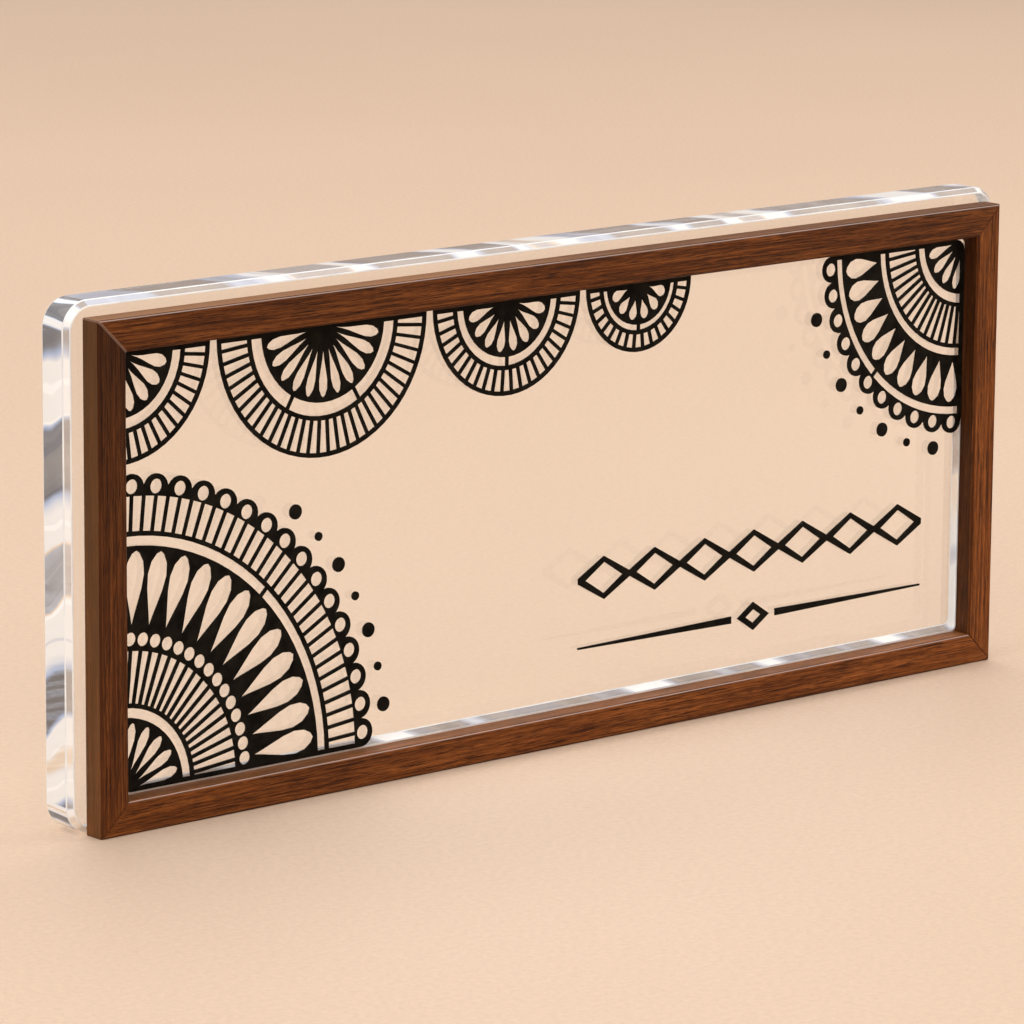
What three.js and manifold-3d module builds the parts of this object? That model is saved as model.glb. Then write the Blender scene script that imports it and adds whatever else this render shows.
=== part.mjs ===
// A free-standing nameplate: a thick clear acrylic block, a mitred walnut frame taped to its front,
// a thin clear panel in the frame's opening, and a raised black ornament on that panel.
// Millimetres. +X runs along the plate, -Y is the front, +Z is up, and Z = 0 is the desk.
import * as THREE from 'three';
import { mergeVertices } from 'three/addons/utils/BufferGeometryUtils.js';
import Module from 'manifold-3d';

// Walnut frame
const FRAME_WIDTH = 240;
const FRAME_HEIGHT = 100;
const RAIL_WIDTH = 6.6;
const RAIL_DEPTH = 5;
const RAIL_EASING = 0.45;
const MITRE_GLUE_LINE = 0.1;

// V-nails across the mitres, driven from the back
const NAIL_LEG = 3.4;
const NAIL_THICKNESS = 0.5;
const NAIL_HEIGHT = 3;
const NAIL_CLEARANCE = 0.05;

// Double-sided tape between the rails and the block
const TAPE_WIDTH = 5;
const TAPE_THICKNESS = 0.3;

// Acrylic block: it stands out past the frame at the sides and the top, and is flush at the bottom
const BLOCK_THICKNESS = 8;
const BLOCK_SIDE_MARGIN = 3.7;
const BLOCK_TOP_MARGIN = 3.1;
const BLOCK_CORNER_RADIUS = 5.8;
const BLOCK_FRONT_CHAMFER = 1.1;
const BLOCK_BACK_CHAMFER = 0.5;

// Clear panel in the frame's opening, its rear edge bevelled
const PANEL_THICKNESS = 1.5;
const PANEL_CLEARANCE = 0.15;
const PANEL_CORNER_RADIUS = 3;
const PANEL_FRONT_ARRIS = 0.2;
const PANEL_BEVEL_WIDTH = 1.8;
const PANEL_BEVEL_DEPTH = 1.1;

// Raised ornament: fans made of round bands and ribs, with beads along them
const PRINT_THICKNESS = 0.35;
const PRINT_MARGIN = 0.5;
const BAND_WIDTH = 0.9;
const RIB_WIDTH = 0.7;
const FAN_HUB_RADIUS = 3;
const FAN_GAP = 1.8;
const CORNER_FAN_RADIUS = 62;
const RIGHT_FAN_RADIUS = 42;
const HANGING_FAN_RADIUS = 26;
const HANGING_FAN_TAPER = 0.74;
const HANGING_FAN_COUNT = 3;
const LOBE_PITCH = 6.2;
const BEAD_RADIUS = 1.5;
const BEAD_SPACING = 8;

// Name field: a chain of open lozenges over a pair of tapered rules
const NAME_FIELD_WIDTH = 98;
const NAME_FIELD_RIGHT_MARGIN = 12;
const NAME_ROW_SPACING = 14;
const CHAIN_LINKS = 7;
const CHAIN_HEIGHT = 9;
const CHAIN_LINE = 1.2;
const RULE_HEIGHT = 1.5;
const RULE_LOZENGE_WIDTH = 9;
const RULE_LOZENGE_HEIGHT = 6;

// How far a straight edge may lie from the round line that it stands for
const CHORD_TOLERANCE = 0.03;
const CORNER_TOLERANCE = 0.006;

// Where the layers lie, with the origin at the bottom centre of the whole plate
const TOTAL_DEPTH = RAIL_DEPTH + TAPE_THICKNESS + BLOCK_THICKNESS;
const FRAME_FRONT = -TOTAL_DEPTH / 2;
const RAIL_BACK = FRAME_FRONT + RAIL_DEPTH;
const BLOCK_FRONT = RAIL_BACK + TAPE_THICKNESS;
const BLOCK_BACK = BLOCK_FRONT + BLOCK_THICKNESS;
const PANEL_FRONT = BLOCK_FRONT - PANEL_THICKNESS;
const OPENING_WIDTH = FRAME_WIDTH - 2 * RAIL_WIDTH;
const OPENING_HEIGHT = FRAME_HEIGHT - 2 * RAIL_WIDTH;

const wasm = await Module();
wasm.setup();

const acrylic = { color: 0xe9edec, roughness: 0.04, metalness: 0 };
const walnut = { color: 0x6e3f22, roughness: 0.5, metalness: 0 };
const steel = { color: 0x9a9c9e, roughness: 0.35, metalness: 1 };
const tape = { color: 0xd9d9d4, roughness: 0.6, metalness: 0 };
const ink = { color: 0x15130f, roughness: 0.45, metalness: 0 };

function piece(name, geometry, finish) {
  const mesh = new THREE.Mesh(geometry, new THREE.MeshStandardMaterial(finish));
  mesh.name = name;
  return mesh;
}

// Points along an arc about a centre, as many as the tolerance asks for, with both ends.
function arcPoints(centre, radius, from, to, tolerance = CHORD_TOLERANCE) {
  const step = 2 * Math.acos(1 - Math.min(tolerance / radius, 0.2));
  const count = Math.max(1, Math.ceil(Math.abs(to - from) / step));
  const points = [];
  for (let i = 0; i <= count; i++) {
    const angle = from + ((to - from) * i) / count;
    points.push(new THREE.Vector2(
      centre.x + radius * Math.cos(angle),
      centre.y + radius * Math.sin(angle),
    ));
  }
  return points;
}

// A rectangle with round corners, counter-clockwise as seen from the front, drawn in by an inset.
// All insets of one slab give the same number of points, so its layers can be joined.
function roundedOutline(box, radius, inset) {
  const centres = [
    [box.right - radius, box.bottom + radius, -Math.PI / 2],
    [box.right - radius, box.top - radius, 0],
    [box.left + radius, box.top - radius, Math.PI / 2],
    [box.left + radius, box.bottom + radius, Math.PI],
  ];
  return centres.flatMap(([x, z, start]) =>
    arcPoints({ x, y: z }, radius, start, start + Math.PI / 2, CORNER_TOLERANCE).map((p) => {
      const outward = new THREE.Vector2(p.x - x, p.y - z).normalize();
      return p.addScaledVector(outward, -inset);
    }));
}

// A closed solid through rings of equally many points, flat and convex at both ends.
function loft(rings) {
  const count = rings[0].length;
  const index = [];
  for (let r = 0; r + 1 < rings.length; r++) {
    for (let i = 0; i < count; i++) {
      const next = (i + 1) % count;
      const a = r * count + i;
      const b = r * count + next;
      index.push(a, a + count, b + count, a, b + count, b);
    }
  }
  const last = (rings.length - 1) * count;
  for (let i = 1; i + 1 < count; i++) {
    index.push(0, i, i + 1);
    index.push(last, last + i + 1, last + i);
  }
  const geometry = new THREE.BufferGeometry();
  const places = rings.flat().flatMap((p) => [p.x, p.y, p.z]);
  geometry.setAttribute('position', new THREE.Float32BufferAttribute(places, 3));
  geometry.setIndex(index);
  return geometry;
}

// A slab with round corners: each layer has its place along Y and how far its outline is drawn in.
function slab(box, radius, layers) {
  return loft(layers.map(({ y, inset }) =>
    roundedOutline(box, radius, inset).map((p) => new THREE.Vector3(p.x, y, p.y))));
}

function toSolid(geometry) {
  const bare = geometry.clone();
  bare.deleteAttribute('normal');
  bare.deleteAttribute('uv');
  const merged = mergeVertices(bare, 1e-5);
  return new wasm.Manifold(new wasm.Mesh({
    numProp: 3,
    vertProperties: new Float32Array(merged.attributes.position.array),
    triVerts: new Uint32Array(merged.index.array),
  }));
}

function toGeometry(solid) {
  const mesh = solid.getMesh();
  const geometry = new THREE.BufferGeometry();
  geometry.setAttribute('position', new THREE.BufferAttribute(mesh.vertProperties, 3));
  geometry.setIndex(new THREE.BufferAttribute(mesh.triVerts, 1));
  return geometry;
}

function boxBetween(low, high) {
  const size = high.map((value, axis) => value - low[axis]);
  const middle = high.map((value, axis) => (value + low[axis]) / 2);
  return new THREE.BoxGeometry(...size).translate(...middle);
}

// The acrylic block
function makeBlock() {
  const box = {
    left: -FRAME_WIDTH / 2 - BLOCK_SIDE_MARGIN,
    right: FRAME_WIDTH / 2 + BLOCK_SIDE_MARGIN,
    bottom: 0,
    top: FRAME_HEIGHT + BLOCK_TOP_MARGIN,
  };
  return piece('acrylic_block', slab(box, BLOCK_CORNER_RADIUS, [
    { y: BLOCK_FRONT, inset: BLOCK_FRONT_CHAMFER },
    { y: BLOCK_FRONT + BLOCK_FRONT_CHAMFER, inset: 0 },
    { y: BLOCK_BACK - BLOCK_BACK_CHAMFER, inset: 0 },
    { y: BLOCK_BACK, inset: BLOCK_BACK_CHAMFER },
  ]), acrylic);
}

// The clear panel: its front edge has a fine arris, and its rear edge a wide polished bevel
function makePanel() {
  const box = {
    left: -OPENING_WIDTH / 2 + PANEL_CLEARANCE,
    right: OPENING_WIDTH / 2 - PANEL_CLEARANCE,
    bottom: RAIL_WIDTH + PANEL_CLEARANCE,
    top: FRAME_HEIGHT - RAIL_WIDTH - PANEL_CLEARANCE,
  };
  return piece('front_panel', slab(box, PANEL_CORNER_RADIUS, [
    { y: PANEL_FRONT, inset: PANEL_FRONT_ARRIS },
    { y: PANEL_FRONT + PANEL_FRONT_ARRIS, inset: 0 },
    { y: BLOCK_FRONT - PANEL_BEVEL_DEPTH, inset: 0 },
    { y: BLOCK_FRONT, inset: PANEL_BEVEL_WIDTH },
  ]), acrylic);
}

// The two legs of a V-nail that crosses the mitre at the left end of a bottom rail. One leg runs
// along each rail, and they meet on the mitre. A slack makes the slot that the nail sits in.
const NAIL_CORNER = (RAIL_WIDTH - NAIL_THICKNESS) / 2;
function nailLegs(slack) {
  const back = RAIL_DEPTH + slack;
  const front = RAIL_DEPTH - NAIL_HEIGHT - slack;
  const near = NAIL_CORNER - slack;
  const far = NAIL_CORNER + NAIL_THICKNESS + slack;
  const end = NAIL_CORNER + NAIL_LEG + slack;
  return [
    boxBetween([near, front, near], [end, back, far]),
    boxBetween([near, front, near], [far, back, end]),
  ].map(toSolid);
}

// A rail as long as its outer edge, that edge on Z = 0, mitred at both ends and slotted for the nails
function railGeometry(length) {
  const w = RAIL_WIDTH;
  const e = RAIL_EASING;
  const profile = [
    [0, RAIL_DEPTH], [0, e], [e, 0], [w - e, 0], [w, e], [w, RAIL_DEPTH],
  ];
  const setBack = MITRE_GLUE_LINE / 2 * Math.SQRT2;
  const ends = [-1, 1].map((side) => profile.map(([inward, depth]) =>
    new THREE.Vector3(side * (length / 2 - inward - setBack), depth, inward)));
  let solid = toSolid(loft(ends));
  for (const leg of nailLegs(NAIL_CLEARANCE)) {
    solid = solid.subtract(leg.translate(-length / 2, 0, 0));
    solid = solid.subtract(leg.mirror([1, 0, 0]).translate(length / 2, 0, 0));
  }
  return toGeometry(solid);
}

// A group at each of the four sides of the frame: outer edge on its own Z = 0, turned to its place
function sides() {
  const middle = FRAME_HEIGHT / 2;
  return [
    { side: 'bottom', length: FRAME_WIDTH, reach: middle, turn: 0 },
    { side: 'left', length: FRAME_HEIGHT, reach: FRAME_WIDTH / 2, turn: Math.PI / 2 },
    { side: 'top', length: FRAME_WIDTH, reach: middle, turn: Math.PI },
    { side: 'right', length: FRAME_HEIGHT, reach: FRAME_WIDTH / 2, turn: -Math.PI / 2 },
  ].map(({ side, length, reach, turn }) => {
    const outer = new THREE.Group();
    outer.position.set(0, 0, middle);
    outer.rotation.y = turn;
    const inner = new THREE.Group();
    inner.position.set(0, FRAME_FRONT, -reach);
    outer.add(inner);
    return { side, length, outer, inner };
  });
}

// Rails, V-nails and tape: one rail and one tape strip on each side, one nail at its left-hand end
function makeFrame() {
  const frame = new THREE.Group();
  const nextCorner = { bottom: 'bottom_left', left: 'top_left', top: 'top_right', right: 'bottom_right' };
  const tapeInset = (RAIL_WIDTH - TAPE_WIDTH) / 2;
  for (const { side, length, outer, inner } of sides()) {
    const upright = side === 'left' || side === 'right';
    inner.add(piece(upright ? `${side}_stile` : `${side}_rail`, railGeometry(length), walnut));

    const [first, second] = nailLegs(0);
    const nail = first.add(second).translate(-length / 2, 0, 0);
    inner.add(piece(`v_nail_${nextCorner[side]}`, toGeometry(nail), steel));

    const tapeEnd = length / 2 - tapeInset - (upright ? TAPE_WIDTH : 0);
    inner.add(piece(`${side}_tape`, boxBetween(
      [-tapeEnd, RAIL_DEPTH, tapeInset],
      [tapeEnd, RAIL_DEPTH + TAPE_THICKNESS, tapeInset + TAPE_WIDTH],
    ), tape));
    frame.add(outer);
  }
  return frame;
}

// The print's own X and Y are measured along and up from the opening's lower left corner.
function printLayer(points) {
  return toSolid(new THREE.ExtrudeGeometry(new THREE.Shape(points), {
    depth: PRINT_THICKNESS,
    bevelEnabled: false,
    curveSegments: 1,
  }));
}

// A tool that reaches past both faces of the print
function printCutter(points) {
  return printLayer(points).scale([1, 1, 3]).translate(0, 0, -PRINT_THICKNESS);
}

// The part of the panel's face that may be printed, with the panel's round corners
const printField = {
  left: PANEL_CLEARANCE + PRINT_MARGIN,
  right: OPENING_WIDTH - PANEL_CLEARANCE - PRINT_MARGIN,
  bottom: PANEL_CLEARANCE + PRINT_MARGIN,
  top: OPENING_HEIGHT - PANEL_CLEARANCE - PRINT_MARGIN,
};
const fieldCutter = printCutter(
  roundedOutline(printField, Math.max(PANEL_CORNER_RADIUS - PRINT_MARGIN, 0.1), 0));

// A raised piece of the ornament: an outline with windows cut through it, laid on the panel's front
function raised(name, outline, windows = []) {
  let solid = printLayer(outline).intersect(fieldCutter);
  for (const points of windows) solid = solid.subtract(printCutter(points));
  return piece(name, toGeometry(solid), ink);
}

// A cell of a fan: where it starts and ends, both ways, and what it leaves standing at each side.
// One window fills it between its two ribs.
function ribWindow(centre, cell) {
  const shift = (width, radius) => Math.asin(Math.min(width / radius, 0.9));
  const at = (radius) => [
    cell.from + shift(cell.fromRib, radius),
    cell.to - shift(cell.toRib, radius),
  ];
  return [
    ...arcPoints(centre, cell.outer, ...at(cell.outer)),
    ...arcPoints(centre, cell.inner, ...at(cell.inner).reverse()),
  ];
}

// A window shaped as a petal: pointed towards the hub, fullest two thirds of the way out, then round
const PETAL_STEPS = 8;
function petalWindow(centre, cell) {
  const middle = (cell.from + cell.to) / 2;
  const sideOf = (sign) => Array.from({ length: PETAL_STEPS + 1 }, (_, i) => {
    const share = (1 - Math.cos((Math.PI * i) / PETAL_STEPS)) / 2;
    const radius = cell.inner + (cell.outer - cell.inner) * share;
    const fullness = Math.sin(Math.PI * share ** 1.7) ** 0.6;
    const rib = Math.asin(Math.min(RIB_WIDTH / 2 / radius, 0.9));
    const half = sign * Math.max(0, (cell.to - cell.from) / 2 - rib) * fullness;
    return new THREE.Vector2(
      centre.x + radius * Math.cos(middle + half),
      centre.y + radius * Math.sin(middle + half),
    );
  });
  return [...sideOf(-1), ...sideOf(1).slice(1, -1).reverse()];
}

function circle(centre, reach, angle, radius) {
  const at = { x: centre.x + reach * Math.cos(angle), y: centre.y + reach * Math.sin(angle) };
  return arcPoints(at, radius, 0, 2 * Math.PI).slice(0, -1);
}

// A round window in the middle of its cell
function beadWindow(centre, cell) {
  const reach = (cell.inner + cell.outer) / 2;
  return circle(centre, reach, (cell.from + cell.to) / 2, (cell.outer - cell.inner) / 2);
}

// Round lobes along a fan's rim, each a half circle on its own chord, with a round window in each
function lobes(centre, radius, from, to) {
  const count = Math.round(((to - from) * radius) / LOBE_PITCH);
  const half = (to - from) / count / 2;
  const rim = radius / (Math.cos(half) + Math.sin(half));
  const size = rim * Math.sin(half);
  const outline = [];
  const windows = [];
  for (let i = 0; i < count; i++) {
    const middle = from + (2 * i + 1) * half;
    const reach = rim * Math.cos(half);
    const at = { x: centre.x + reach * Math.cos(middle), y: centre.y + reach * Math.sin(middle) };
    outline.push(...arcPoints(at, size, middle - Math.PI / 2, middle + Math.PI / 2).slice(0, -1));
    windows.push(circle(centre, reach + size * 0.15, middle, size * 0.5));
  }
  return { rim: rim - size * 0.2, outline, windows };
}

// A fan: a solid sector with rows of windows, from the hub out to the rim. Each row takes its share
// of the radius, and is cut in as many cells as its pitch allows at its outer edge.
function fan(name, centre, radius, from, to, rows, lobed = false) {
  const edge = lobed
    ? lobes(centre, radius, from, to)
    : { rim: radius, outline: arcPoints(centre, radius, from, to), windows: [] };
  const shares = rows.reduce((sum, row) => sum + row.share, 0);
  const free = edge.rim - FAN_HUB_RADIUS - BAND_WIDTH * rows.length;
  const windows = [...edge.windows];
  let inner = FAN_HUB_RADIUS;
  for (const row of rows) {
    const outer = inner + (free * row.share) / shares;
    const sideBand = row.cut === ribWindow ? 0 : Math.asin(Math.min(BAND_WIDTH / outer, 0.9));
    const sweep = to - from - 2 * sideBand;
    const count = Math.max(1, Math.round((sweep * outer) / (row.pitch * RIB_WIDTH)));
    for (let i = 0; i < count; i++) {
      windows.push(row.cut(centre, {
        inner,
        outer,
        from: from + sideBand + (sweep * i) / count,
        to: from + sideBand + (sweep * (i + 1)) / count,
        fromRib: i === 0 ? BAND_WIDTH : RIB_WIDTH / 2,
        toRib: i === count - 1 ? BAND_WIDTH : RIB_WIDTH / 2,
      }));
    }
    inner = outer + BAND_WIDTH;
  }
  const halfOrMore = to - from > Math.PI - 0.01;
  const hub = halfOrMore ? [] : [new THREE.Vector2(centre.x, centre.y)];
  const end = lobed ? [arcPoints(centre, edge.rim, from, to).at(-1)] : [];
  return raised(name, [...hub, ...edge.outline, ...end], windows);
}

// The rows of each kind of fan. A share is of the radius, and a pitch is in rib widths.
const cornerRows = [
  { cut: petalWindow, share: 8, pitch: 6 },
  { cut: ribWindow, share: 1.4, pitch: 40 },
  { cut: ribWindow, share: 7.5, pitch: 3.4 },
  { cut: beadWindow, share: 2, pitch: 4.6 },
  { cut: petalWindow, share: 11, pitch: 8.8 },
  { cut: ribWindow, share: 1.4, pitch: 56 },
  { cut: ribWindow, share: 5, pitch: 4.2 },
];
const rightRows = [
  { cut: petalWindow, share: 6, pitch: 5.2 },
  { cut: ribWindow, share: 1.4, pitch: 30 },
  { cut: ribWindow, share: 6, pitch: 3.4 },
  { cut: ribWindow, share: 1.2, pitch: 60 },
  { cut: petalWindow, share: 7, pitch: 8 },
  { cut: ribWindow, share: 1.2, pitch: 40 },
];
const hangingRows = [
  { cut: petalWindow, share: 6, pitch: 5.6 },
  { cut: ribWindow, share: 1.4, pitch: 24 },
  { cut: ribWindow, share: 3.4, pitch: 3.6 },
];

// Beads on a line at a steady gap outside a fan's rim, large and small in turn
function beadsAlong(name, centre, radius, from, to) {
  const reach = radius + FAN_GAP + BEAD_RADIUS;
  const count = Math.max(2, Math.round(((to - from) * reach) / BEAD_SPACING) + 1);
  return Array.from({ length: count }, (_, i) => {
    const angle = from + ((to - from) * i) / (count - 1);
    const size = i % 2 === 0 ? BEAD_RADIUS : BEAD_RADIUS * 0.6;
    return raised(`${name}_${i + 1}`, circle(centre, reach, angle, size));
  });
}

// The ornament of fans: one large in the lower left corner, one in each upper corner, and a row of
// shrinking ones that hang from the top between them
function makeFans() {
  const { left, right, bottom, top } = printField;
  const lowerLeft = { x: left, y: bottom };
  const upperLeft = { x: left, y: top };
  const upperRight = { x: right, y: top };
  const quarter = Math.PI / 2;
  const upperLeftRadius = top - bottom - CORNER_FAN_RADIUS - FAN_GAP;

  const made = [
    fan('lower_left_fan', lowerLeft, CORNER_FAN_RADIUS, 0, quarter, cornerRows, true),
    fan('upper_left_fan', upperLeft, upperLeftRadius, -quarter, 0, hangingRows),
    fan('upper_right_fan', upperRight, RIGHT_FAN_RADIUS, -2 * quarter, -quarter, rightRows, true),
  ];

  const beadRing = CORNER_FAN_RADIUS + 2 * (FAN_GAP + BEAD_RADIUS);
  const clearOfBigFan = Math.sqrt(
    Math.max(0, (beadRing + HANGING_FAN_RADIUS) ** 2 - (top - bottom) ** 2));
  const clearOfCorner = upperLeftRadius + HANGING_FAN_RADIUS + FAN_GAP;
  let x = left + Math.max(clearOfBigFan, clearOfCorner);
  let radius = HANGING_FAN_RADIUS;
  for (let i = 0; i < HANGING_FAN_COUNT; i++) {
    if (x + radius + FAN_GAP > right - RIGHT_FAN_RADIUS) break;
    made.push(fan(`hanging_fan_${i + 1}`, { x, y: top }, radius, -2 * quarter, 0, hangingRows));
    const smaller = radius * HANGING_FAN_TAPER;
    x += radius + smaller + FAN_GAP;
    radius = smaller;
  }

  made.push(...beadsAlong('corner_bead', lowerLeft, CORNER_FAN_RADIUS, 0.12, 0.86));
  made.push(...beadsAlong('right_bead', upperRight, RIGHT_FAN_RADIUS, -2.85, -1.75));
  return made;
}

// A lozenge as a closed outline
function lozenge(x, y, width, height) {
  return [[x - width / 2, y], [x, y - height / 2], [x + width / 2, y], [x, y + height / 2]]
    .map(([px, py]) => new THREE.Vector2(px, py));
}

// A row of lozenges that run into each other at their tips, each with an open middle
function chain(name, x, y) {
  const pitch = NAME_FIELD_WIDTH / CHAIN_LINKS;
  const start = x - NAME_FIELD_WIDTH / 2;
  const lowSide = [new THREE.Vector2(start, y - CHAIN_LINE / 2)];
  const windows = [];
  for (let i = 0; i < CHAIN_LINKS; i++) {
    lowSide.push(new THREE.Vector2(start + (i + 0.5) * pitch, y - CHAIN_HEIGHT / 2));
    lowSide.push(new THREE.Vector2(start + (i + 1) * pitch, y - CHAIN_LINE / 2));
    const narrower = pitch - 2 * CHAIN_LINE * (pitch / CHAIN_HEIGHT);
    windows.push(lozenge(start + (i + 0.5) * pitch, y, narrower, CHAIN_HEIGHT - 2 * CHAIN_LINE));
  }
  const highSide = lowSide.map((p) => new THREE.Vector2(p.x, 2 * y - p.y)).reverse();
  return raised(name, [...lowSide, ...highSide], windows);
}

// The name field, centred in the height that the upper right fan and its beads leave free
function makeNameField() {
  const x = OPENING_WIDTH - NAME_FIELD_RIGHT_MARGIN - NAME_FIELD_WIDTH / 2;
  const freeHeight = OPENING_HEIGHT - RIGHT_FAN_RADIUS - 2 * FAN_GAP - 2 * BEAD_RADIUS;
  const upper = (freeHeight + NAME_ROW_SPACING) / 2;
  const lower = (freeHeight - NAME_ROW_SPACING) / 2;
  const tip = RULE_HEIGHT / 8;
  const rules = [[-1, 'left'], [1, 'right']].map(([side, label]) => {
    const near = x + side * (RULE_LOZENGE_WIDTH / 2 + FAN_GAP);
    const far = x + (side * NAME_FIELD_WIDTH) / 2;
    const outline = [
      [near, lower - RULE_HEIGHT / 2], [far, lower - tip],
      [far, lower + tip], [near, lower + RULE_HEIGHT / 2],
    ].map(([px, py]) => new THREE.Vector2(px, py));
    return raised(`name_rule_${label}`, side > 0 ? outline : outline.reverse());
  });
  const heart = lozenge(x, lower, RULE_LOZENGE_WIDTH / 2, RULE_LOZENGE_HEIGHT / 2);
  const middle = lozenge(x, lower, RULE_LOZENGE_WIDTH, RULE_LOZENGE_HEIGHT);
  return [chain('name_chain', x, upper), raised('name_lozenge', middle, [heart]), ...rules];
}

function makePrint() {
  const print = new THREE.Group();
  print.position.set(-OPENING_WIDTH / 2, PANEL_FRONT, RAIL_WIDTH);
  print.rotation.x = Math.PI / 2;
  print.add(...makeFans(), ...makeNameField());
  return print;
}

const nameplate = new THREE.Group();
nameplate.add(makeBlock(), makePanel(), makeFrame(), makePrint());

export default nameplate;
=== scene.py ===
import math

import bpy
from mathutils import Matrix, Vector


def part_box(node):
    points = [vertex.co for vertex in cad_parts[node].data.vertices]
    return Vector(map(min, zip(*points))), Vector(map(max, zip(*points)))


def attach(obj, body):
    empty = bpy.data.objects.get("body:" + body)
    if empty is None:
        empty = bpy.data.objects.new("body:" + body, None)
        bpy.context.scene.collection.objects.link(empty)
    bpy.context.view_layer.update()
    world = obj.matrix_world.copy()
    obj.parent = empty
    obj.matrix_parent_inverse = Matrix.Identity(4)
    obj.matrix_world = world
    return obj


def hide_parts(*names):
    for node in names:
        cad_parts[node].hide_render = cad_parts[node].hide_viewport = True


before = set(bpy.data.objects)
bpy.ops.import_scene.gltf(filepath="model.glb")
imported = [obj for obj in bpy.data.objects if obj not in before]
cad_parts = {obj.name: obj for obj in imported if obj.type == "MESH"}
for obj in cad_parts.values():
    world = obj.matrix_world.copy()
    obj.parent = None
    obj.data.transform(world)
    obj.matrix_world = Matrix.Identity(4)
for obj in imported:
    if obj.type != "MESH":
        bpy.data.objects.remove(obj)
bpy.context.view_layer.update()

MM = 0.001
LIGHT_BOUNCES = 64

scene = bpy.context.scene
scene.view_settings.view_transform = "Standard"
scene.cycles.max_bounces = LIGHT_BOUNCES
scene.cycles.glossy_bounces = LIGHT_BOUNCES
scene.cycles.transmission_bounces = LIGHT_BOUNCES


# Camera. The plate is seen from its left and a little from above, through a long lens, so its
# uprights stay nearly parallel.
CAMERA_PLACE = Vector((-735.4, -834.9, 276.1)) * MM
CAMERA_YAW = math.radians(40.91)
CAMERA_PITCH = math.radians(11.63)
CAMERA_ROLL = math.radians(0.43)
FOCAL_LENGTH_MM = 196.9

camera = bpy.data.objects.new("camera", bpy.data.cameras.new("camera"))
scene.collection.objects.link(camera)
scene.camera = camera
camera.data.lens = FOCAL_LENGTH_MM
camera.data.sensor_width = 36.0
turn = Matrix.Rotation(-CAMERA_YAW, 4, "Z") @ Matrix.Rotation(math.pi / 2 - CAMERA_PITCH, 4, "X")
camera.matrix_world = Matrix.Translation(CAMERA_PLACE) @ turn @ Matrix.Rotation(CAMERA_ROLL, 4, "Z")


# Floor. A sheet of warm, pale card with a faint fibre in its face. The plate stands on it, and it
# is wide enough to fill the view.
def link(tree, source, target):
    tree.links.new(source, target)


def new_material(name):
    material = bpy.data.materials.new(name)
    material.use_nodes = True
    tree = material.node_tree
    shader = tree.nodes["Principled BSDF"]
    return material, tree, shader


def node(tree, kind, **settings):
    made = tree.nodes.new(kind)
    for name, value in settings.items():
        setattr(made, name, value)
    return made


def in_millimetres(tree):
    """Object coordinates, scaled so that one unit is a millimetre of the real thing."""
    place = node(tree, "ShaderNodeTexCoord")
    scaled = node(tree, "ShaderNodeVectorMath", operation="SCALE")
    scaled.inputs["Scale"].default_value = 1 / MM
    link(tree, place.outputs["Object"], scaled.inputs[0])
    return scaled.outputs[0]


def stretched(tree, vector, scale, offset=(0, 0, 0)):
    mapping = node(tree, "ShaderNodeMapping")
    mapping.inputs["Scale"].default_value = scale
    mapping.inputs["Location"].default_value = offset
    link(tree, vector, mapping.inputs["Vector"])
    return mapping.outputs["Vector"]


def noise(tree, vector, scale=1.0, detail=2.0, roughness=0.5, distortion=0.0):
    made = node(tree, "ShaderNodeTexNoise")
    for name, value in (("Scale", scale), ("Detail", detail), ("Roughness", roughness),
                        ("Distortion", distortion)):
        made.inputs[name].default_value = value
    link(tree, vector, made.inputs["Vector"])
    return made.outputs["Fac"]


def grey(value):
    return (value, value, value)


def ramp(tree, factor, stops):
    """A colour for each value of the factor, from stops of a position and a colour."""
    made = node(tree, "ShaderNodeValToRGB")
    elements = made.color_ramp.elements
    while len(elements) < len(stops):
        elements.new(0.5)
    for element, (position, colour) in zip(elements, stops):
        element.position = position
        element.color = (*colour, 1.0)
    link(tree, factor, made.inputs["Fac"])
    return made.outputs["Color"]


def mixed(tree, blend, factor, a, b):
    """Colour a blended with colour b. Each is a socket or a plain colour."""
    made = node(tree, "ShaderNodeMix", data_type="RGBA", blend_type=blend)
    share, first, second = made.inputs["Factor"], made.inputs[6], made.inputs[7]
    for socket, value in ((share, factor), (first, a), (second, b)):
        if isinstance(value, bpy.types.NodeSocket):
            link(tree, value, socket)
        else:
            socket.default_value = value if isinstance(value, (int, float)) else (*value, 1.0)
    return made.outputs[2]


def bumped(tree, shader, height, distance_mm, strength=1.0):
    bump = node(tree, "ShaderNodeBump")
    bump.inputs["Strength"].default_value = strength
    bump.inputs["Distance"].default_value = distance_mm * MM
    link(tree, height, bump.inputs["Height"])
    link(tree, bump.outputs["Normal"], shader.inputs["Normal"])


FLOOR_SIZE = 7.0
CARD = (0.776, 0.583, 0.434)
CARD_SHADE = (0.718, 0.53, 0.392)

floor_mesh = bpy.data.meshes.new("floor")
half = FLOOR_SIZE / 2
floor_mesh.from_pydata(
    [(-half, -half, 0), (half, -half, 0), (half, half, 0), (-half, half, 0)], [], [(0, 1, 2, 3)])
floor = bpy.data.objects.new("floor", floor_mesh)
scene.collection.objects.link(floor)
card, tree, shader = new_material("warm_card")
millimetres = in_millimetres(tree)
mottle = noise(tree, millimetres, scale=0.004, detail=2)
fibre = noise(tree, millimetres, scale=0.7, detail=5, roughness=0.75)
tone = mixed(tree, "MIX", mottle, CARD_SHADE, CARD)
speck = ramp(tree, fibre, [(0.35, grey(0.90)), (0.65, grey(1.02))])
link(tree, mixed(tree, "MULTIPLY", 1.0, tone, speck), shader.inputs["Base Color"])
shader.inputs["Roughness"].default_value = 0.55
bumped(tree, shader, fibre, 0.08)
floor_mesh.materials.append(card)


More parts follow.
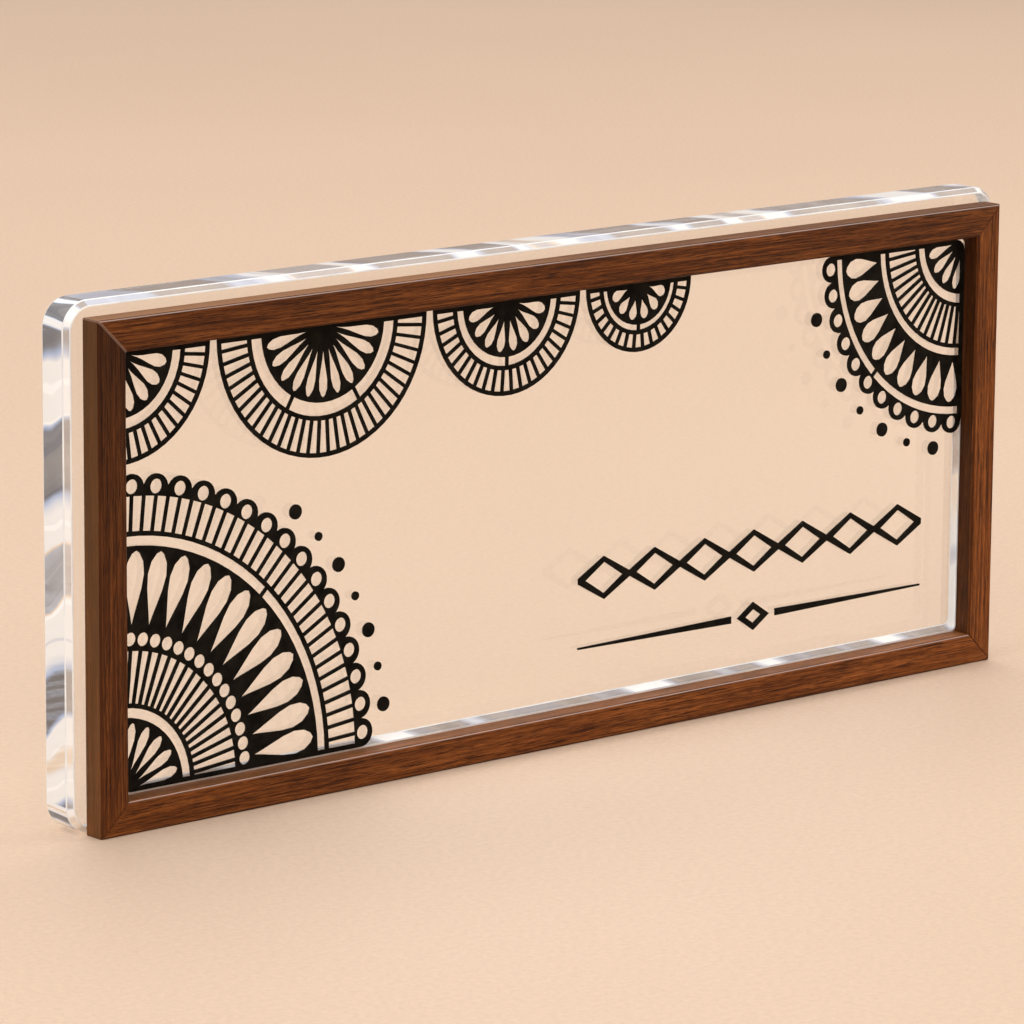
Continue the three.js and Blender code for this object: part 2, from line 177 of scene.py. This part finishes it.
# Light. Soft sources behind on the right, in front on the left, and smaller ones at both sides, in
# an even surround: a backdrop of the floor's own card that meets it without a line, white overhead.
PLATE_MIDDLE = Vector((0, 0, 0.05))


def soft_light(name, place, size, power, colour):
    data = bpy.data.lights.new(name, "AREA")
    data.shape = "RECTANGLE"
    data.size, data.size_y = size
    data.energy = power
    data.color = colour
    light = bpy.data.objects.new(name, data)
    scene.collection.objects.link(light)
    light.location = place
    aim = PLATE_MIDDLE - Vector(place)
    light.rotation_euler = aim.to_track_quat("-Z", "Y").to_euler()


WARM_LIGHT = (1.0, 0.97, 0.94)
WARMER_LIGHT = (1.0, 0.96, 0.91)
COOL_LIGHT = (0.88, 0.95, 1.0)

soft_light("rear", (0.55, 0.65, 1.4), (1.2, 0.8), 8.5, WARMER_LIGHT)
soft_light("front", (-0.9, -1.1, 1.2), (1.0, 1.0), 8, WARM_LIGHT)
soft_light("left", (-1.3, -0.2, 0.9), (0.7, 0.9), 6, COOL_LIGHT)
soft_light("side", (1.4, -0.8, 0.7), (0.5, 0.7), 7, WARM_LIGHT)

BACKDROP = (0.64, 0.467, 0.346)
WHITE_OVERHEAD = grey(0.92)
SURROUND_STRENGTH = 0.8

world = bpy.data.worlds.new("surround")
scene.world = world
world.use_nodes = True
tree = world.node_tree
background = tree.nodes["Background"]
axes = node(tree, "ShaderNodeSeparateXYZ")
link(tree, node(tree, "ShaderNodeTexCoord").outputs["Generated"], axes.inputs[0])
surround = ramp(tree, axes.outputs["Z"], [(0.35, BACKDROP), (0.7, WHITE_OVERHEAD)])
link(tree, surround, background.inputs["Color"])
background.inputs["Strength"].default_value = SURROUND_STRENGTH


# Acrylic block. A clear cast sheet, cut with round corners and polished all round: a wide chamfer
# round the front, a narrow one at the back. The whole frame is taped to its front.
ACRYLIC_IOR = 1.49
EDGE_ROUNDING = 0.2 * MM
SHARPEST_CURVE = math.radians(20)
CORNER_STEPS = 20


def rounded_outline(low, high, radius, inset):
    """Points (x, z) round a rectangle with round corners, drawn in by an inset."""
    points = []
    corners = [
        (high.x - radius, low.z + radius, -90), (high.x - radius, high.z - radius, 0),
        (low.x + radius, high.z - radius, 90), (low.x + radius, low.z + radius, 180),
    ]
    for x, z, start in corners:
        for step in range(CORNER_STEPS + 1):
            angle = math.radians(start + 90 * step / CORNER_STEPS)
            reach = radius - inset
            points.append((x + reach * math.cos(angle), z + reach * math.sin(angle)))
    return points


def polished_slab(name, low, high, layers, finishes):
    """A slab through outlines at several depths, each drawn in and rounded by its own lengths, with
    a finish for each face round its rim.

    The edges are eased as polishing leaves them, and the easing has the last finish, the white
    arris with its painted highlight.
    """
    rings = [[(x, y, z) for x, z in rounded_outline(low, high, radius, inset)]
             for y, inset, radius in layers]
    count = len(rings[0])
    last = (len(rings) - 1) * count
    faces = [tuple(range(count)), tuple(reversed(range(last, last + count)))]
    slots = [0, 0]
    for ring in range(len(rings) - 1):
        for i in range(count):
            j = (i + 1) % count
            first = ring * count
            faces.append((first + i, first + count + i, first + count + j, first + j))
            slots.append(ring + 1)
    mesh = bpy.data.meshes.new(name)
    mesh.from_pydata([point for ring in rings for point in ring], [], faces)
    mesh.polygons.foreach_set("use_smooth", [True] * len(faces))
    mesh.polygons.foreach_set("material_index", slots)
    for finish in (clear, *finishes, arris_painted_highlight):
        mesh.materials.append(finish)
    slab = bpy.data.objects.new(name, mesh)
    scene.collection.objects.link(slab)
    rounding = slab.modifiers.new("rounding", "BEVEL")
    rounding.width = EDGE_ROUNDING
    rounding.segments = 3
    rounding.limit_method = "ANGLE"
    rounding.angle_limit = SHARPEST_CURVE
    rounding.material = len(finishes) + 1
    slab.modifiers.new("flats", "WEIGHTED_NORMAL").keep_sharp = True
    return slab


clear, tree, shader = new_material("clear_acrylic")
shader.inputs["Transmission Weight"].default_value = 1.0
shader.inputs["IOR"].default_value = ACRYLIC_IOR
shader.inputs["Roughness"].default_value = 0.0
tint = noise(tree, in_millimetres(tree), scale=0.03, detail=2)
link(tree, ramp(tree, tint, [(0.3, (0.992, 0.996, 0.993)), (0.7, (0.998, 1.0, 0.999))]),
     shader.inputs["Base Color"])


def calculated(tree, operation, a, b=0.0, c=0.0):
    made = node(tree, "ShaderNodeMath", operation=operation)
    for socket, value in zip(made.inputs, (a, b, c)):
        if isinstance(value, bpy.types.NodeSocket):
            link(tree, value, socket)
        else:
            socket.default_value = value
    return made.outputs[0]


def separated(tree, vector):
    """A vector's sockets X, Y and Z."""
    made = node(tree, "ShaderNodeSeparateXYZ")
    link(tree, vector, made.inputs[0])
    return made.outputs["X"], made.outputs["Y"], made.outputs["Z"]


def run_along(tree, vector, slant):
    """How far a point lies along the sheet's edge, by the slant of the patches on it."""
    made = node(tree, "ShaderNodeVectorMath", operation="DOT_PRODUCT")
    link(tree, vector, made.inputs[0])
    made.inputs[1].default_value = slant
    return made.outputs["Value"]


def as_vector(tree, value):
    made = node(tree, "ShaderNodeCombineXYZ")
    link(tree, value, made.inputs["X"])
    return made.outputs[0]


# Colours of the polished edges' painted reflections and painted piped light: grey and white patches
# with blue and amber fringes, shifted towards grey on faces that look up.
PAINTED_GREY_REFLECTION = (0.42, 0.43, 0.46)
PAINTED_DARK_REFLECTION = (0.28, 0.29, 0.31)
PAINTED_DARKEST_REFLECTION = (0.22, 0.24, 0.28)
PAINTED_BLUE_FRINGE = (0.46, 0.60, 0.88)
PAINTED_PIPED_LIGHT = (0.93, 0.97, 1.0)
PAINTED_AMBER_FRINGE = (0.95, 0.78, 0.58)
PAINTED_PALE_REFLECTION = (0.56, 0.60, 0.68)
CLEAR_TINT = (1.0, 0.99, 0.98)
PATCH_SLANT = (1.0, 0.6, 1.0)
PATCH_LENGTH = 28
PATCH_WANDER = 7
CORNER_STRIPES = 55
DULLER_ON_TOP = 0.02


def polished_edge(name, reflection_share, clearness):
    """A sawn and polished edge of clear sheet, whose colour is painted reflections and painted
    piped light: grey and white patches that slant across its thickness, with faint blue and amber
    borders and fine painted streaks, a little greyer on faces that look up."""
    material, tree, shader = new_material(name)
    place = in_millimetres(tree)
    run = run_along(tree, place, PATCH_SLANT)
    wander = calculated(tree, "MULTIPLY", noise(tree, place, scale=0.11, detail=0.5), PATCH_WANDER)
    normal = node(tree, "ShaderNodeNewGeometry").outputs["Normal"]
    facing_x, _, facing_z = separated(tree, normal)
    turning = calculated(tree, "MULTIPLY", facing_x, facing_z)
    turning = calculated(tree, "MULTIPLY", turning, CORNER_STRIPES)
    run = as_vector(tree, calculated(tree, "ADD", run, calculated(tree, "ADD", wander, turning)))
    patches = noise(tree, run, scale=1 / PATCH_LENGTH, detail=1, roughness=0.4)
    patches = calculated(tree, "MULTIPLY_ADD", facing_z, -DULLER_ON_TOP, patches)
    colour = ramp(tree, patches, [
        (0.28, PAINTED_GREY_REFLECTION), (0.40, PAINTED_DARK_REFLECTION), (0.47, PAINTED_DARKEST_REFLECTION), (0.485, PAINTED_BLUE_FRINGE),
        (0.50, PAINTED_PIPED_LIGHT), (0.58, PAINTED_PIPED_LIGHT), (0.588, PAINTED_AMBER_FRINGE), (0.60, PAINTED_PALE_REFLECTION),
        (0.70, PAINTED_GREY_REFLECTION),
    ])
    # Fine painted streaks across the painted reflections.
    fine = noise(tree, run, scale=0.3, detail=1.5, roughness=0.6)
    painted_fine_streaks = ramp(tree, fine, [
        (0.36, (0.50, 0.55, 0.68)), (0.41, grey(1)), (0.58, grey(1)), (0.62, grey(1.2))])
    colour = mixed(tree, "MULTIPLY", 0.6, colour, painted_fine_streaks)
    depth = ramp(tree, facing_z, [(0.3, grey(reflection_share)), (0.9, grey(reflection_share * 0.85))])
    link(tree, mixed(tree, "MIX", depth, CLEAR_TINT, colour), shader.inputs["Base Color"])
    murky = clearness * 0.1
    see_through = ramp(tree, patches, [
        (0.46, grey(clearness)), (0.50, grey(murky)), (0.57, grey(murky)), (0.61, grey(clearness))])
    link(tree, see_through, shader.inputs["Transmission Weight"])
    shader.inputs["IOR"].default_value = ACRYLIC_IOR
    shader.inputs["Roughness"].default_value = 0.04
    return material


# The block's rim and chamfers carry painted reflections and painted piped light in their colour.
rim = polished_edge("polished_rim", 1.0, 0.4)
chamfer = polished_edge("polished_chamfer", 0.7, 0.55)
# The arris finish: a near-opaque white with painted glints, a painted highlight along the polished
# edges.
arris_painted_highlight, tree, shader = new_material("arris_painted_highlight")
glint = noise(tree, in_millimetres(tree), scale=0.15, detail=2)
link(tree, ramp(tree, glint, [(0.35, (0.80, 0.84, 0.90)), (0.6, (0.95, 0.99, 1))]),
     shader.inputs["Base Color"])
shader.inputs["Roughness"].default_value = 0.15
shader.inputs["Transmission Weight"].default_value = 0.1
shader.inputs["IOR"].default_value = ACRYLIC_IOR

BLOCK_RADIUS = 5.8 * MM
FRONT_CHAMFER = 1.1 * MM
BACK_CHAMFER = 0.5 * MM
GLUE_FILM = 0.02 * MM

low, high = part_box("acrylic_block")
front = low.y + GLUE_FILM
block = polished_slab("clear_block", low, high, [
    (front, FRONT_CHAMFER, BLOCK_RADIUS), (front + FRONT_CHAMFER, 0, BLOCK_RADIUS),
    (high.y - BACK_CHAMFER, 0, BLOCK_RADIUS), (high.y, BACK_CHAMFER, BLOCK_RADIUS),
], [chamfer, rim, chamfer])
block.visible_shadow = False
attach(block, "root")
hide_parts("acrylic_block")


# Front panel. A thin clear sheet cemented to the block inside the frame, with a fine arris round
# its face, whose white is a painted highlight, and a wide polished bevel round its rear edge, which
# shows as a band of painted glints, with painted light making it whitest at its lower right and
# warmer above that on the right.
cemented, tree, shader = new_material("cemented_edge")
shader.inputs["Transmission Weight"].default_value = 1.0
shader.inputs["IOR"].default_value = 1.0
shader.inputs["Roughness"].default_value = 0.0
tint = noise(tree, in_millimetres(tree), scale=0.05, detail=2)
link(tree, ramp(tree, tint, [(0.3, grey(0.98)), (0.7, grey(1))]), shader.inputs["Base Color"])

# Painted glints along the panel's bevel, and painted light on its right: whiter by the foot, warmer
# above.
GLINT_SLANT = (1.0, 2.5, 1.0)
GLINT_SPACING = 17
OUTER_SIDE = 120
FRAME_HEIGHT = 100
PAINTED_LIGHT_ON_RIGHT = 0.14
PAINTED_WARM_LIGHT_UP_RIGHT = (1.0, 0.87, 0.75)

# The bevel's colour: painted glints and painted light.
bevel_painted_glints, tree, shader = new_material("bevel_painted_glints")
place = in_millimetres(tree)
run = as_vector(tree, run_along(tree, place, GLINT_SLANT))
painted_glints = noise(tree, run, scale=1 / GLINT_SPACING, detail=1)
spot = separated(tree, place)
on_right = ramp(tree, calculated(tree, "DIVIDE", spot[0], OUTER_SIDE), [
    (0.90, grey(0)), (0.93, grey(1))])
by_the_foot = ramp(tree, calculated(tree, "DIVIDE", spot[2], FRAME_HEIGHT), [
    (0.29, grey(1)), (0.36, grey(0))])
# Painted light, whitest at the lower right.
painted_light_low_right = calculated(tree, "MULTIPLY", on_right, by_the_foot)
painted_glints = calculated(tree, "MULTIPLY_ADD", painted_light_low_right, PAINTED_LIGHT_ON_RIGHT, painted_glints)
colour = ramp(tree, painted_glints, [
    (0.38, (0.44, 0.42, 0.41)), (0.46, (0.58, 0.56, 0.55)), (0.50, (0.50, 0.52, 0.58)),
    (0.55, (0.70, 0.76, 0.88)), (0.60, grey(1))])
# Painted warm light on the right above the foot.
painted_warm_light = calculated(tree, "SUBTRACT", on_right, painted_light_low_right)
link(tree, mixed(tree, "MULTIPLY", painted_warm_light, colour, PAINTED_WARM_LIGHT_UP_RIGHT), shader.inputs["Base Color"])
link(tree, ramp(tree, painted_glints, [(0.50, grey(0.55)), (0.59, grey(0.1))]),
     shader.inputs["Transmission Weight"])
shader.inputs["IOR"].default_value = ACRYLIC_IOR
shader.inputs["Roughness"].default_value = 0.05

PANEL_RADIUS = 1.2 * MM
BEVEL_RADIUS = 3.4 * MM
PANEL_ARRIS_WIDTH = 0.5 * MM
PANEL_ARRIS_DEPTH = 0.12 * MM
PANEL_BEVEL_WIDTH = 1.8 * MM
PANEL_BEVEL_DEPTH = 1.0 * MM
INNER_LINE_SHARE = 0.1
PANEL_ROUNDING = 0.05 * MM

low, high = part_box("front_panel")
back = high.y - GLUE_FILM
panel = polished_slab("clear_panel", low, high, [
    (low.y, PANEL_ARRIS_WIDTH, PANEL_RADIUS), (low.y + PANEL_ARRIS_DEPTH, 0, PANEL_RADIUS),
    (back - PANEL_BEVEL_DEPTH, 0, PANEL_RADIUS),
    (back - PANEL_BEVEL_DEPTH * INNER_LINE_SHARE,
     PANEL_BEVEL_WIDTH * (1 - INNER_LINE_SHARE), BEVEL_RADIUS),
    (back, PANEL_BEVEL_WIDTH, BEVEL_RADIUS),
], [arris_painted_highlight, bevel_painted_glints, bevel_painted_glints, arris_painted_highlight])
panel.modifiers["rounding"].width = PANEL_ROUNDING
panel.modifiers["rounding"].material = -1
panel.data.materials.append(cemented)
for face in panel.data.polygons:
    if face.material_index and (face.center.z > high.z - BEVEL_RADIUS
                                or face.center.x < low.x + BEVEL_RADIUS):
        face.material_index = len(panel.data.materials) - 1
panel.visible_shadow = False
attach(panel, "root")
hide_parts("front_panel")


# Frame. Four walnut rails, oiled to a satin, mitred and glued at the corners. The grain runs along
# each rail, so it turns at the mitres. Light and shade are painted in: a pale sheen on the upper
# faces, a highlight on the eased edges that look up, shade on those that look down and on the
# stiles' inner sides, a highlight in the upper left mitre, and each rail lighter or darker along
# its length.
WALNUT_DARK = (0.050, 0.013, 0.0025)
WALNUT_MIDDLE = (0.140, 0.039, 0.0055)
WALNUT_LIGHT = (0.255, 0.084, 0.019)


def turned_upright(tree, place):
    """Swaps X and Z, so that grain made along X runs up a stile."""
    x, y, z = separated(tree, place)
    turned = node(tree, "ShaderNodeCombineXYZ")
    for source, target in ((z, "X"), (y, "Y"), (x, "Z")):
        link(tree, source, turned.inputs[target])
    return turned.outputs[0]


def walnut_grain(tree, place):
    """The oiled wood's colour, and its pores."""
    figure = noise(tree, stretched(tree, place, (0.02, 0.35, 0.35)), detail=4, distortion=0.8)
    streaks = noise(tree, stretched(tree, place, (0.032, 1.8, 1.8)), detail=6, roughness=0.72,
                    distortion=0.25)
    pores = noise(tree, stretched(tree, place, (0.11, 3.8, 3.8)), detail=4, roughness=0.65)
    fine_pores = noise(tree, stretched(tree, place, (0.25, 6, 6)), detail=2, roughness=0.6)
    flecks = noise(tree, stretched(tree, place, (0.22, 3, 3)), detail=3)
    body = ramp(tree, streaks, [
        (0.30, WALNUT_DARK), (0.46, WALNUT_MIDDLE), (0.62, WALNUT_LIGHT), (0.75, WALNUT_MIDDLE)])
    shade = ramp(tree, figure, [(0.3, (0.70, 0.67, 0.65)), (0.65, (1.12, 1.10, 1.08))])
    body = mixed(tree, "MULTIPLY", 1.0, body, shade)
    fleck = ramp(tree, flecks, [(0.5, grey(0.85)), (0.68, (1.25, 1.2, 1.15))])
    body = mixed(tree, "MULTIPLY", 0.8, body, fleck)
    pore = ramp(tree, pores, [(0.38, (0.16, 0.13, 0.12)), (0.46, grey(1))])
    body = mixed(tree, "MULTIPLY", 0.9, body, pore)
    fine_pore = ramp(tree, fine_pores, [
        (0.36, (0.3, 0.27, 0.25)), (0.45, grey(1)), (0.60, grey(1)), (0.68, (1.7, 1.6, 1.5))])
    return mixed(tree, "MULTIPLY", 0.8, body, fine_pore), pores


FRAME_WIDTH = 240
FRAME_MIDDLE_HEIGHT = 50
# A pale painted sheen of light for the faces that look up.
WALNUT_PAINTED_SHEEN = (0.42, 0.20, 0.085)
LEDGE_SHEEN_SHARE = grey(0.34)


def paint_top_sheen(tree, body, rightward, upward, height):
    """Paints a pale sheen of light on the faces that look up: on the frame's top, most by its left
    end, and less on its lower ledge, which lies in shade.
    """
    painted_sheen = ramp(tree, upward[2], [(0.8, grey(0)), (0.95, grey(0.5))])
    sheen_by_the_left = ramp(tree, rightward, [(0.35, grey(1)), (0.55, grey(0.26))])
    upper = ramp(tree, height, [(0.0, grey(0)), (0.1, grey(1))])
    sheen_share = mixed(tree, "MIX", upper, LEDGE_SHEEN_SHARE, sheen_by_the_left)
    painted_sheen = mixed(tree, "MULTIPLY", 1.0, painted_sheen, sheen_share)
    return mixed(tree, "MIX", painted_sheen, body, WALNUT_PAINTED_SHEEN)


INNER_SIDE = 113.4
WALNUT_PALE_SIDE = (0.165, 0.078, 0.027)
# Near-black walnut: painted shade on inner sides and downward edges, and the dark of the mitre
# joints.
WALNUT_JOINT_DARK_AND_PAINTED_SHADE = (0.018, 0.006, 0.002)


def pale_outsides_shaded_insides(tree, body, spot, upward):
    """A paler, duller brown on the stiles' outer sides, and near-black painted shade on the inner
    ones.
    """
    outward = calculated(tree, "MULTIPLY", spot[0], upward[0])
    paler_outside = ramp(tree, calculated(tree, "DIVIDE", outward, OUTER_SIDE), [
        (0.97, grey(0)), (0.99, grey(0.45))])
    body = mixed(tree, "MIX", paler_outside, body, WALNUT_PALE_SIDE)
    # Painted shade on the stiles' inner sides.
    painted_inner_shade = ramp(tree, calculated(tree, "DIVIDE", outward, -INNER_SIDE), [
        (0.97, grey(0)), (0.99, grey(0.7))])
    return mixed(tree, "MIX", painted_inner_shade, body, WALNUT_JOINT_DARK_AND_PAINTED_SHADE)


EASING_MIDDLE = 6.43
# Pale painted highlight for the eased edges that look up.
WALNUT_PAINTED_EDGE_HIGHLIGHT = (0.50, 0.41, 0.38)


def easing_painted_light_and_shade(tree, body, spot, normal, upward):
    """The eased front edges: a pale painted highlight where they look up, painted shade where they
    look down, and the darkest walnut colour between.
    """
    flat = node(tree, "ShaderNodeVectorMath", operation="ABSOLUTE")
    link(tree, normal, flat.inputs[0])
    x, y, z = separated(tree, flat.outputs[0])
    squarest = calculated(tree, "MAXIMUM", calculated(tree, "MAXIMUM", x, y), z)
    off_easing = calculated(tree, "ADD", spot[1], EASING_MIDDLE)
    off_easing = calculated(tree, "ABSOLUTE", off_easing)
    narrowing = calculated(tree, "MULTIPLY_ADD", z, 1.0, 0.4)
    off_easing = calculated(tree, "MULTIPLY", off_easing, narrowing)
    line = ramp(tree, off_easing, [(0.06, grey(1)), (0.12, grey(0))])
    slanting = ramp(tree, squarest, [(0.76, grey(0.7)), (0.85, grey(0))])
    line = mixed(tree, "MULTIPLY", 1.0, line, slanting)
    # Painted highlight on upward easings, painted shade on downward ones.
    edge = ramp(tree, calculated(tree, "MULTIPLY_ADD", upward[2], 0.5, 0.5), [
        (0.3, WALNUT_JOINT_DARK_AND_PAINTED_SHADE), (0.4, WALNUT_DARK), (0.6, WALNUT_DARK), (0.7, WALNUT_PAINTED_EDGE_HIGHLIGHT)])
    return mixed(tree, "MIX", line, body, edge)


MITRE_OFFSET = 70
# Pale painted highlight for the upper left mitre.
MITRE_PAINTED_HIGHLIGHT = (0.36, 0.23, 0.17)


def mitre_joints_and_highlight(tree, body, spot, height):
    """A pale painted highlight along the upper left mitre, and a faint dark joint line in the
    others.
    """
    across = calculated(tree, "ABSOLUTE", spot[0])
    off_mitre = calculated(tree, "SUBTRACT", across, calculated(tree, "ABSOLUTE", height))
    off_mitre = calculated(tree, "SUBTRACT", off_mitre, MITRE_OFFSET)
    off_mitre = calculated(tree, "ABSOLUTE", off_mitre)
    joint = ramp(tree, off_mitre, [(0.22, grey(1)), (0.42, grey(0))])
    leftward = calculated(tree, "MULTIPLY", spot[0], -1.0)
    upper_left = calculated(tree, "MINIMUM", height, leftward)
    mitre_line_strength = ramp(tree, upper_left, [(0.0, grey(0.18)), (0.1, grey(0.6))])
    joint = mixed(tree, "MULTIPLY", 1.0, joint, mitre_line_strength)
    # Painted highlight in the upper left mitre; dark joint colour in the others.
    mitre_colour = ramp(tree, upper_left, [(0.0, WALNUT_JOINT_DARK_AND_PAINTED_SHADE), (0.1, MITRE_PAINTED_HIGHLIGHT)])
    return mixed(tree, "MIX", joint, body, mitre_colour)


ROUGHEST_SATIN = 0.52
SMOOTHEST_SATIN = 0.36


def walnut(name, upright, offset, painted_shading_ends):
    """Walnut whose grain runs along X, or along Z on an upright piece, with painted light and shade
    as brightness factors at its left and right ends, or at its foot and top. The offset gives each
    rail a grain of its own."""
    material, tree, shader = new_material(name)
    place = in_millimetres(tree)
    spot = separated(tree, place)
    if upright:
        place = turned_upright(tree, place)
    body, pores = walnut_grain(tree, stretched(tree, place, (1, 1, 1), offset))
    normal = node(tree, "ShaderNodeNewGeometry").outputs["True Normal"]
    upward = separated(tree, normal)
    height = calculated(tree, "SUBTRACT", spot[2], FRAME_MIDDLE_HEIGHT)
    rise = calculated(tree, "DIVIDE", spot[2], FRAME_HEIGHT)
    rightward = calculated(tree, "MULTIPLY_ADD", spot[0], 1 / FRAME_WIDTH, 0.5)
    # Painted light and shade along the rail, from the pair of factors.
    painted_shading = ramp(tree, rise if upright else rightward, [
        (0.05, grey(painted_shading_ends[0])), (0.95, grey(painted_shading_ends[1]))])
    body = mixed(tree, "MULTIPLY", 1.0, body, painted_shading)
    body = paint_top_sheen(tree, body, rightward, upward, height)
    body = pale_outsides_shaded_insides(tree, body, spot, upward)
    body = easing_painted_light_and_shade(tree, body, spot, normal, upward)
    body = mitre_joints_and_highlight(tree, body, spot, height)
    link(tree, body, shader.inputs["Base Color"])
    satin = node(tree, "ShaderNodeMapRange")
    satin.inputs["To Min"].default_value = ROUGHEST_SATIN
    satin.inputs["To Max"].default_value = SMOOTHEST_SATIN
    link(tree, pores, satin.inputs["Value"])
    link(tree, satin.outputs["Result"], shader.inputs["Roughness"])
    shader.inputs["Specular IOR Level"].default_value = 0.13
    bumped(tree, shader, pores, 0.08, 0.7)
    return material


RAIL_EASING = 0.12 * MM
WELD_DISTANCE = 0.001 * MM


def eased(part, width):
    """Rounds the sharp edges of a CAD part a little, as sanding does."""
    part.modifiers.new("joined", "WELD").merge_threshold = WELD_DISTANCE
    easing = part.modifiers.new("easing", "BEVEL")
    easing.width = width
    easing.segments = 2
    easing.limit_method = "ANGLE"
    easing.angle_limit = math.radians(25)
    easing.use_clamp_overlap = True


def refinished(part, material):
    part.data.materials.clear()
    part.data.materials.append(material)


# The last pair in each row is painted light and shade: lighter or darker at each end of the rail.
for rail, upright, offset, painted_shading_ends in (
    ("top_rail", False, (31, 12, 0), (0.86, 0.86)),
    ("bottom_rail", False, (210, 40, 9), (1.06, 1.34)),
    ("left_stile", True, (77, 3, 51), (0.94, 0.34)),
    ("right_stile", True, (160, 25, 83), (1.36, 1.14)),
):
    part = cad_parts[rail]
    refinished(part, walnut(f"walnut_{rail}", upright, offset, painted_shading_ends))
    eased(part, RAIL_EASING)


# Tape and V-nails. A strip of thin double-sided tape bonds each rail to the block, and a bent strip
# of steel, driven in from behind, holds each mitre.
film, tree, shader = new_material("tape_film")
grain = noise(tree, in_millimetres(tree), scale=1.5, detail=3)
link(tree, ramp(tree, grain, [(0.3, (0.40, 0.33, 0.27)), (0.7, (0.48, 0.41, 0.34))]),
     shader.inputs["Base Color"])
shader.inputs["Roughness"].default_value = 0.4
steel, tree, shader = new_material("nail_steel")
brushed = noise(tree, stretched(tree, in_millimetres(tree), (0.5, 8, 0.5)), scale=1, detail=3)
link(tree, ramp(tree, brushed, [(0.3, (0.42, 0.42, 0.43)), (0.7, (0.56, 0.56, 0.57))]),
     shader.inputs["Base Color"])
shader.inputs["Metallic"].default_value = 1.0
shader.inputs["Roughness"].default_value = 0.35
for name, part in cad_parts.items():
    if name.endswith("_tape"):
        refinished(part, film)
    elif name.startswith("v_nail"):
        refinished(part, steel)


# Print. Raised near-black ink, printed in many thin coats on the panel's face, satin and very
# slightly uneven: round fans of bands and ribs, beads, and the name field's lozenges and rules.
ink, tree, shader = new_material("raised_ink")
place = in_millimetres(tree)
blotch = noise(tree, place, scale=0.4, detail=3)
link(tree, ramp(tree, blotch, [(0.3, (0.0025, 0.002, 0.0015)), (0.7, (0.012, 0.0105, 0.008))]),
     shader.inputs["Base Color"])
shader.inputs["Roughness"].default_value = 0.42
shader.inputs["Specular IOR Level"].default_value = 0.04
bumped(tree, shader, noise(tree, place, scale=5, detail=2), 0.01, 0.4)
for name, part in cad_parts.items():
    if "_fan" in name or "_bead_" in name or name.startswith("name_"):
        refinished(part, ink)
